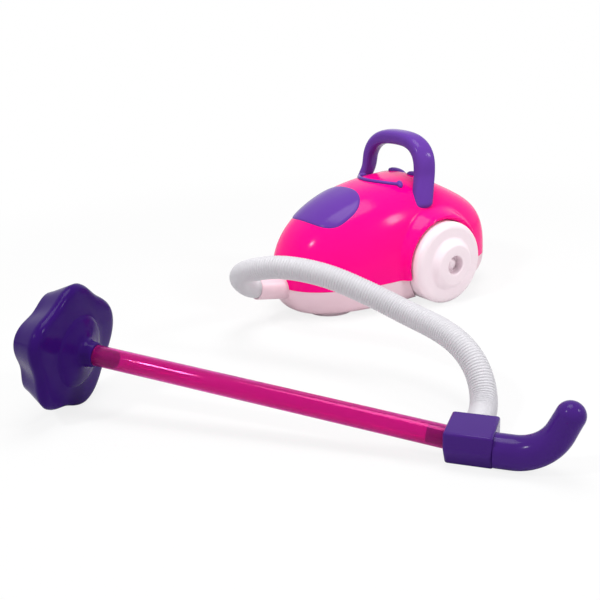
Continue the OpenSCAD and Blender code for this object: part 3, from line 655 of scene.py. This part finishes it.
# The rounded edge, the side, the lip of the mouth, and the inside.
flower_rows += [(1, edge_round * (1 - sin(a)), edge_round * (1 - cos(a)))
                for a in (radians(15 * i) for i in range(1, 7))]
flower_rows += [(1, skirt_inset * k / 6, edge_round + skirt_depth * k / 6) for k in range(1, 6)]
flower_rows += [(1, 12.8, 33), (1, 13.2, 33.8), (1, 14, 34), (1, 14.9, 33.8), (1, 15.3, 33)]
flower_rows += [(1, 9, 19), (1, 3.4, 7), (1, 5, 5), (1, 9, 4.5), (0, 40, 4.4), (0, 0, 4.4)]


def flower_skin(turn, way):
    """A ring of the flower, between a round and the petals' wave."""
    share, value, depth = flower_rows[round(way * (len(flower_rows) - 1))]
    a = 2 * pi * turn
    round_r = value if share == 0 else cone_r + petal_start * share
    r = round_r + (petal_r(a) - value - round_r) * share
    return along_tube @ Vector((r * cos(a), r * sin(a), tube_len + collar_len + depth))


bm = bmesh.new()
wrap(bm, 240, len(flower_rows) - 1, flower_skin, fill=True)
flower = finish_mesh("flower_cup", bm, "canister", "flower_nozzle", sharp=50)

# %% [markdown]
# The coupler is a boxy block with a sloping lower front. Five corner points make its end face, extruding the
# face makes the block, and a bevel rounds every edge as a mould does. A spigot on it plugs the tube. The
# large faces are shaded flat, so that the light breaks at the edges as it does on the toy.

# %% Coupler
coupler_corners = [(-17, 32), (-17, 16), (-9, 0), (coupler_back, 0), (coupler_back, 32)]
coupler_round, plug_r, plug_end = 2.4, 8.05, 16
flat_area = 200 * mm * mm
bm = bmesh.new()
end_points = [wand_floor @ Vector((-coupler_half, y, z)) * mm for y, z in coupler_corners]
end_face = bm.faces.new([bm.verts.new(p) for p in end_points])
pushed = bmesh.ops.extrude_face_region(bm, geom=[end_face])["geom"]
shift = wand_floor.to_3x3() @ Vector((2 * coupler_half, 0, 0)) * mm
bmesh.ops.translate(bm, vec=shift, verts=[g for g in pushed if isinstance(g, bmesh.types.BMVert)])
bmesh.ops.bevel(bm, geom=bm.edges[:], offset=coupler_round * mm, offset_type="OFFSET", affect="EDGES",
                segments=4, profile=0.5, material=-1)
spin_along_tube(bm, [(0, -5), (plug_r, -5), (plug_r, plug_end - 1), (7.4, plug_end), (0, plug_end)], 48,
                closed=False)
coupler = finish_mesh("coupler_block", bm, "canister", "hose_coupler", sharp=35)
for face in coupler.data.polygons:
    face.use_smooth = face.area < flat_area

# %% [markdown]
# The grip is a bent, slightly tapered bar with a round end, moulded in the same purple. Its middle line runs
# straight out of the coupler, turns up, and runs straight again. The radius shrinks towards the end and
# closes there like half a ball.

# %% Bent grip
grip_run, grip_bend, grip_turn, grip_up = 14, 40, radians(66), 16
grip_len = grip_run + grip_bend * grip_turn + grip_up
grip_r, grip_end_r, taper_start = 14.5, 12, 10
bar_share = 0.7  # of the rings, the rest make the round end
grip_root = Vector((coupler_half, -3, 14.8))
sideways = Vector((0, 1, 0))


def grip_at(s):
    """Place and heading on the grip's middle line, s millimetres from the coupler."""
    if s < grip_run:
        return Vector((s, 0, 0)), Vector((1, 0, 0))
    turn = min(grip_turn, (s - grip_run) / grip_bend)
    heading = Vector((cos(turn), 0, sin(turn)))
    spot = Vector((grip_run + grip_bend * sin(turn), 0, grip_bend * (1 - cos(turn))))
    return spot + heading * max(0, s - grip_run - grip_bend * grip_turn), heading


def grip_skin(turn, way):
    """A round ring across the bar, or across the half ball at its end."""
    if way < bar_share:
        s, tip_turn = grip_len * way / bar_share, 0
    else:
        tip_turn = (way - bar_share) / (1 - bar_share) * pi / 2
        s = grip_len + grip_end_r * sin(tip_turn)
    middle, heading = grip_at(s)
    taper = eased((s - taper_start) / (grip_len - taper_start))
    r = (grip_r - (grip_r - grip_end_r) * taper) * cos(tip_turn)
    a = 2 * pi * turn
    spot = middle + r * (cos(a) * sideways + sin(a) * heading.cross(sideways))
    return wand_floor @ (spot + grip_root)


bm = bmesh.new()
wrap(bm, 64, 80, grip_skin, fill=True)
grip = finish_mesh("bent_grip", bm, "canister", "grip", sharp=50)

# %% [markdown]
# Now the finishes. Colours are written as the hex values that the eye sees and turned into linear light by
# one function. One small function adds a node with its settings and links, so each material reads as a list.

# %% Material helpers
drift_mm = 45


def linear(code):
    """sRGB hex to linear red, green, blue and alpha."""
    parts = [int(code[i:i + 2], 16) / 255 for i in (1, 3, 5)]
    return [c / 12.92 if c <= 0.04045 else ((c + 0.055) / 1.055) ** 2.4 for c in parts] + [1]


def add(tree, kind, inputs=None, **settings):
    """Add a node, set its properties, and set or link its inputs."""
    node = tree.nodes.new(kind)
    for key, value in settings.items():
        setattr(node, key, value)
    for key, value in (inputs or {}).items():
        if isinstance(value, bpy.types.NodeSocket):
            tree.links.new(value, node.inputs[key])
        else:
            node.inputs[key].default_value = value
    return node


def moulded(name, light, dark, rough, grain_mm, bump, **sockets):
    """A plastic or metal: two close tones that drift, a fine skin texture and its gloss."""
    mat = bpy.data.materials.new(name)
    mat.use_nodes = True
    tree = mat.node_tree
    shader = tree.nodes["Principled BSDF"]
    where = add(tree, "ShaderNodeTexCoord").outputs["Object"]
    drift = add(tree, "ShaderNodeTexNoise", {"Vector": where, "Scale": 1 / (drift_mm * mm), "Detail": 2.0})
    tones = {0: drift.outputs["Fac"], 6: linear(light), 7: linear(dark)}
    tone = add(tree, "ShaderNodeMix", tones, data_type="RGBA")
    tree.links.new(tone.outputs[2], shader.inputs["Base Color"])
    grain = add(tree, "ShaderNodeTexNoise", {"Vector": where, "Scale": 1 / (grain_mm * mm), "Detail": 3.0})
    grain_out = grain.outputs["Fac"]
    wear = add(tree, "ShaderNodeMapRange", {"Value": grain_out, "To Min": rough * 0.8, "To Max": rough * 1.3})
    tree.links.new(wear.outputs["Result"], shader.inputs["Roughness"])
    skin = add(tree, "ShaderNodeBump", {"Height": grain_out, "Strength": bump, "Distance": 0.1 * mm})
    tree.links.new(skin.outputs["Normal"], shader.inputs["Normal"])
    for key, value in sockets.items():
        shader.inputs[key.replace("_", " ")].default_value = value
    print("material", name)
    return mat


def dress(mat, *pieces):
    """Put one material on pieces and on CAD nodes."""
    for piece in pieces:
        piece.data.materials.clear()
        piece.data.materials.append(mat)


print("tones drift over", drift_mm, "mm")

# %% [markdown]
# ABS moulded in a polished tool is glossy and nearly flawless: a clear highlight with only a trace of ripple.
# The pink and the purple differ in pigment. The dark purple and the deep violet are that purple with painted
# shade in their colour, and the deep violet of the flower shines a little less. The milky white pieces are
# polypropylene, softer in gloss; the rosy white is milky white with painted shade and a painted pink
# reflection of the shell. The hose is satin polyethylene.

# %% Plastics
polished = {"grain_mm": 6, "bump": 0.02, "IOR": 1.53, "Specular_IOR_Level": 0.08}
calmer = {**polished, "Specular_IOR_Level": 0.05}
satin = {"rough": 0.32, "grain_mm": 5, "bump": 0.03, "IOR": 1.49}
pink_abs = moulded("moulded ABS hot pink", "#FF0089", "#FB0084", rough=0.14, **polished)
purple_abs = moulded("moulded ABS purple", "#653A9E", "#603598", rough=0.15, **polished)
# The dark purple of the coupler and grip is the purple with painted shade in its colour.
shaded_purple_abs = moulded("moulded ABS purple darkened by painted shade", "#44207A", "#3F1B72", rough=0.15, **polished)
# The deep violet of the flower is the purple with painted shade in its colour.
shaded_violet_abs = moulded("moulded ABS purple deepened by painted shade", "#320F68", "#2D0C5F", rough=0.14, **calmer)
milky_pp = moulded("moulded polypropylene milky white", "#F5E6EC", "#F2E0E8", **satin)
# The rosy white is milky white polypropylene with painted shade and a painted pink reflection of the shell.
shaded_pink_bounce_pp = moulded("moulded polypropylene rosy white", "#E9CCD6", "#E5C5D0", **satin)
hose_pe = moulded("blow-moulded polyethylene off-white", "#CFCDD2", "#C8C6CB", rough=0.4, grain_mm=4,
                  bump=0.03, IOR=1.51)
dress(pink_abs, shell)
dress(purple_abs, panel, smile, *eyes, handle)
dress(shaded_purple_abs, coupler, grip)
dress(shaded_violet_abs, flower)
dress(hose_pe, hose)
dress(milky_pp, *wheels)
dress(shaded_pink_bounce_pp, base, sleeve)

# %% [markdown]
# The tube is tinted acrylic. It lets light through, so its far wall and the purple plugs inside both ends can
# be seen as darker shades. Transmission does this together with a low roughness and acrylic's IOR of 1.49.

# %% Tinted acrylic
tinted = moulded("extruded acrylic tinted magenta", "#E130AA", "#DC2AA4", rough=0.05, grain_mm=8, bump=0.01,
                 IOR=1.49, Specular_IOR_Level=0.1, Specular_Tint=linear("#FF70B8"), Transmission_Weight=0.85)
dress(tinted, tube)

# %% [markdown]
# The axle, pins and screws are drawn steel: a grey metal with a fine unevenness in its shine. They hardly
# show, but each has its finish. These CAD solids, the pad and the axle caps keep their shape and only take a
# material.

# %% Steel and the last solids
steel = moulded("drawn steel", "#A9A9AD", "#9C9CA1", rough=0.35, grain_mm=1.5, bump=0.05, Metallic=1.0)
for node in ("rear_axle", "left_lock_pin", "right_lock_pin", "base_screws"):
    dress(steel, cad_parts[node])
for node in ("front_pad", "left_axle_cap", "right_axle_cap"):
    dress(milky_pp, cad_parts[node])

# %% [markdown]
# The photograph is a studio shot on white. A large pale floor takes the soft shadow. Only to the camera it
# glows nearly white, more so far from the toy, so that it runs into the background without an edge.

# %% Floor
scene = bpy.context.scene
scene.view_settings.view_transform = "Standard"
bm = bmesh.new()
bmesh.ops.create_grid(bm, x_segments=2, y_segments=2, size=6)
studio_floor = add_object("studio_floor", bm)
paper = bpy.data.materials.new("white paper")
paper.use_nodes = True
tree = paper.node_tree
rays = add(tree, "ShaderNodeLightPath")
glow = add(tree, "ShaderNodeEmission", {"Color": linear("#FFFFFF"), "Strength": 1.0}).outputs[0]
chalk = add(tree, "ShaderNodeBsdfDiffuse", {"Color": linear("#E4E4E4")}).outputs[0]
where = add(tree, "ShaderNodeTexCoord").outputs["Object"]
far = add(tree, "ShaderNodeVectorMath", {0: where}, operation="LENGTH").outputs["Value"]
fade_range = {"Value": far, "From Min": 0.3, "From Max": 0.9, "To Min": 0.82, "To Max": 1.0}
fade = add(tree, "ShaderNodeMapRange", fade_range, interpolation_type="SMOOTHSTEP").outputs["Result"]
lit = add(tree, "ShaderNodeMixShader", {0: fade, 1: chalk, 2: glow}).outputs[0]
both = add(tree, "ShaderNodeMixShader", {0: rays.outputs["Is Camera Ray"], 1: chalk, 2: lit}).outputs[0]
tree.links.new(both, tree.nodes["Material Output"].inputs["Surface"])
studio_floor.data.materials.append(paper)
print("floor:", tuple(round(side) for side in studio_floor.dimensions.xy), "m")

# %% [markdown]
# An even sky fills the shadows from all sides. It is plain white to the camera, and to mirror and see-through
# rays, so the background is white without more light on the toy.

# %% Sky
sky = bpy.data.worlds.new("studio")
scene.world = sky
sky.use_nodes = True
tree = sky.node_tree
rays = add(tree, "ShaderNodeLightPath")
straight = {0: rays.outputs["Is Camera Ray"], 1: rays.outputs["Is Transmission Ray"]}
seen = add(tree, "ShaderNodeMath", straight, operation="MAXIMUM").outputs[0]
mirrored = {0: seen, 1: rays.outputs["Is Glossy Ray"]}
seen = add(tree, "ShaderNodeMath", mirrored, operation="MAXIMUM").outputs[0]
fill_light = add(tree, "ShaderNodeBackground", {"Color": linear("#FFFFFF"), "Strength": 0.45}).outputs[0]
white_back = add(tree, "ShaderNodeBackground", {"Color": linear("#FFFFFF"), "Strength": 1.0}).outputs[0]
mixed = add(tree, "ShaderNodeMixShader", {0: seen, 1: fill_light, 2: white_back}).outputs[0]
tree.links.new(mixed, tree.nodes["World Output"].inputs["Surface"])
print("sky nodes:", len(tree.nodes))

# %% [markdown]
# Three soft boxes give the highlights: a small one in front, a large one over the toy and one at its side.
# Each is a rectangle of light with a place, a point that it looks at, a size in metres and a power in watts.

# %% Lamps
def soft_box(name, spot, aim, size, power):
    """A rectangular lamp that looks from a spot at an aim."""
    lamp = bpy.data.lights.new(name, "AREA")
    lamp.shape = "RECTANGLE"
    lamp.size, lamp.size_y = size
    lamp.energy = power
    holder = bpy.data.objects.new(name, lamp)
    turn = (Vector(aim) - Vector(spot)).to_track_quat("-Z", "Y")
    holder.matrix_world = Matrix.Translation(spot) @ turn.to_matrix().to_4x4()
    bpy.context.collection.objects.link(holder)
    print("lamp", name, power, "W")


soft_box("key_box", (0.2, -1.5, 1.6), (0.15, -0.1, 0.05), (0.18, 0.18), 13)
soft_box("top_box", (0.15, 0.05, 1.6), (0.15, 0.05, 0), (0.8, 0.8), 15)
soft_box("side_box", (1.6, 0.9, 1.3), (0.1, 0.0, 0.08), (0.25, 0.4), 12)
